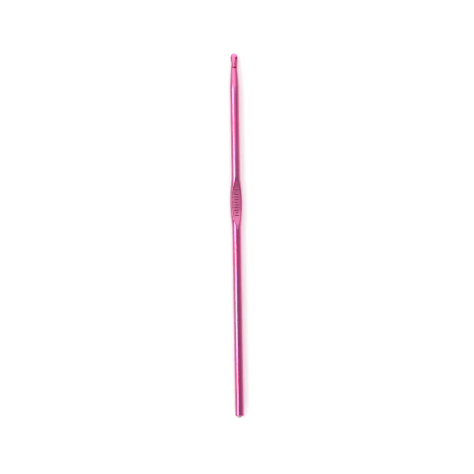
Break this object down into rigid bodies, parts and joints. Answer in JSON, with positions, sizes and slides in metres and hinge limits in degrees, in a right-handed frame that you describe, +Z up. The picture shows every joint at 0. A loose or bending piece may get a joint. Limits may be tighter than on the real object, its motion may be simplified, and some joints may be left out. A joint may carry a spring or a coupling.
{
  "type": "crochet hook",
  "caption": "Slim round aluminium crochet hook with a rounded head, a pointed lip over an undercut mouth, a tapered neck, a pressed flat thumb rest and a turned stub at the butt.",
  "frame": {"origin": "below mid length, on the surface that the round shaft lies on", "axes": "+Y along the hook towards the head, +Z up, the way the front of the thumb rest faces, +X across; the mouth is turned 20 degrees from +Z towards -X"},
  "size_m": [0.0052, 0.1524, 0.0037],
  "materials": {
    "anodised_aluminium": "glossy pink anodising over a drawn and polished rod, worn to bare grey metal on the stub"
  },
  "bodies": {
    "root": {"hook_head": "anodised_aluminium", "hook_shaft": "anodised_aluminium"}
  },
  "joints": []
}
